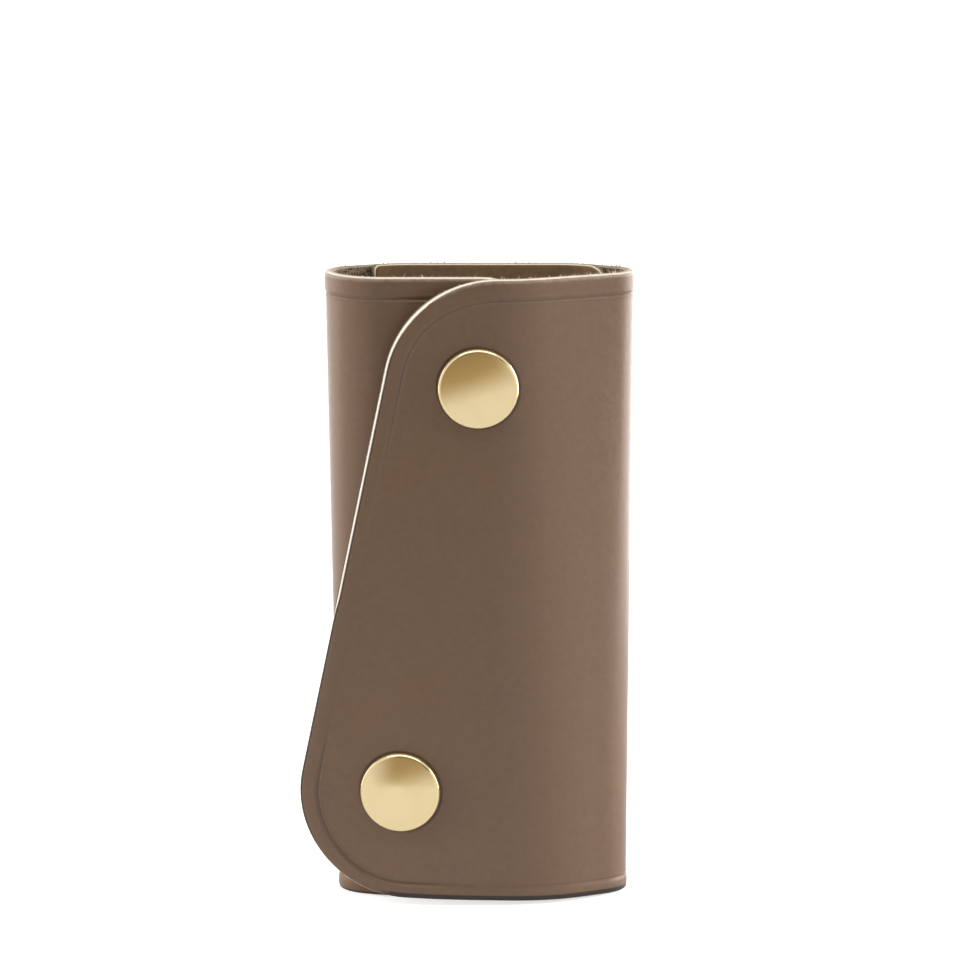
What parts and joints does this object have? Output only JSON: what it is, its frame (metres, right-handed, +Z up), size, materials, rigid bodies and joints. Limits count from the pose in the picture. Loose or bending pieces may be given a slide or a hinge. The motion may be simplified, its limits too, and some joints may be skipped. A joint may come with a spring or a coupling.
{
  "type": "leather key case",
  "caption": "Leather sheet rolled into an upright oval key case, with a slanted outer flap, two brass snaps and a rack of hinged key hooks inside.",
  "frame": {"origin": "middle of the bounding box, on the plane of the lower edge that the case stands on", "axes": "+Z up along the tube, -Y out of the front with the snaps, +X towards the right fold seen from the front"},
  "size_m": [0.0576, 0.0236, 0.1107],
  "materials": {
    "case_leather": "smooth taupe full-grain leather, satin, with raw cut edges",
    "liner_leather": "smooth brown leather, satin",
    "brass": "satin polished",
    "spring_steel": "bright spring steel"
  },
  "bodies": {
    "case_back": {"back_panel": "case_leather", "liner": "liner_leather", "hook_plate": "brass", "hook_rod": "brass", "plate_rivet_left": "brass", "plate_rivet_right": "brass"},
    "right_fold": {"right_fold": "case_leather"},
    "outer_flap": {"outer_flap": "case_leather", "snap_cap_upper": "brass", "snap_cap_lower": "brass", "snap_socket_upper": "brass", "snap_socket_lower": "brass", "snap_spring_upper": "spring_steel", "snap_spring_lower": "spring_steel"},
    "left_fold": {"left_fold": "case_leather"},
    "inner_flap": {"inner_flap": "case_leather", "snap_stud_upper": "brass", "snap_stud_lower": "brass", "stud_rivet_upper": "brass", "stud_rivet_lower": "brass"},
    "hook_1": {"key_hook_1": "brass"},
    "gate_1": {"hook_gate_1": "spring_steel"},
    "hook_2": {"key_hook_2": "brass"},
    "gate_2": {"hook_gate_2": "spring_steel"},
    "hook_3": {"key_hook_3": "brass"},
    "gate_3": {"hook_gate_3": "spring_steel"},
    "hook_4": {"key_hook_4": "brass"},
    "gate_4": {"hook_gate_4": "spring_steel"}
  },
  "joints": [
    {"name": "outer_flap_open", "type": "hinge", "parent": "right_fold", "child": "outer_flap", "pos_m": [0.0277, 0.00309, 0], "axis": [0.0097, -0.0061, 0.9999], "range_deg": [0, 140]},
    {"name": "right_fold_open", "type": "hinge", "parent": "case_back", "child": "right_fold", "pos_m": [0.01986, 0.01151, 0], "axis": [0, -0.0204, 0.9998], "range_deg": [0, 35]},
    {"name": "inner_flap_open", "type": "hinge", "parent": "left_fold", "child": "inner_flap", "pos_m": [-0.02242, 0.00225, 0], "axis": [0.0195, -0.0042, -0.9998], "range_deg": [0, 91]},
    {"name": "left_fold_open", "type": "hinge", "parent": "case_back", "child": "left_fold", "pos_m": [-0.01447, 0.01152, 0], "axis": [-0.0001, 0.0207, -0.9998], "range_deg": [0, 28]},
    {"name": "hook_1_swing", "type": "hinge", "parent": "case_back", "child": "hook_1", "pos_m": [-0.00761, 0.00523, 0.09197], "axis": [-1, 0, 0], "range_deg": [-2, 15]},
    {"name": "gate_1_open", "type": "hinge", "parent": "hook_1", "child": "gate_1", "pos_m": [-0.00541, 0.00523, 0.08497], "axis": [0, 1, 0], "range_deg": [0, 20], "stiffness_Nm_per_rad": 0.0002, "springref_deg": -2.86},
    {"name": "hook_2_swing", "type": "hinge", "parent": "case_back", "child": "hook_2", "pos_m": [-0.00041, 0.00523, 0.09197], "axis": [-1, 0, 0], "range_deg": [-2, 15]},
    {"name": "gate_2_open", "type": "hinge", "parent": "hook_2", "child": "gate_2", "pos_m": [0.00179, 0.00523, 0.08497], "axis": [0, 1, 0], "range_deg": [0, 20], "stiffness_Nm_per_rad": 0.0002, "springref_deg": -2.86},
    {"name": "hook_3_swing", "type": "hinge", "parent": "case_back", "child": "hook_3", "pos_m": [0.00679, 0.00523, 0.09197], "axis": [-1, 0, 0], "range_deg": [-2, 15]},
    {"name": "gate_3_open", "type": "hinge", "parent": "hook_3", "child": "gate_3", "pos_m": [0.00899, 0.00523, 0.08497], "axis": [0, 1, 0], "range_deg": [0, 20], "stiffness_Nm_per_rad": 0.0002, "springref_deg": -2.86},
    {"name": "hook_4_swing", "type": "hinge", "parent": "case_back", "child": "hook_4", "pos_m": [0.01399, 0.00523, 0.09197], "axis": [-1, 0, 0], "range_deg": [-2, 15]},
    {"name": "gate_4_open", "type": "hinge", "parent": "hook_4", "child": "gate_4", "pos_m": [0.01619, 0.00523, 0.08497], "axis": [0, 1, 0], "range_deg": [0, 20], "stiffness_Nm_per_rad": 0.0002, "springref_deg": -2.86}
  ],
  "couplings": [
    {"joint": "right_fold_open", "follows": "outer_flap_open", "ratio": 0.25},
    {"joint": "inner_flap_open", "follows": "outer_flap_open", "ratio": 0.65},
    {"joint": "left_fold_open", "follows": "outer_flap_open", "ratio": 0.2}
  ]
}
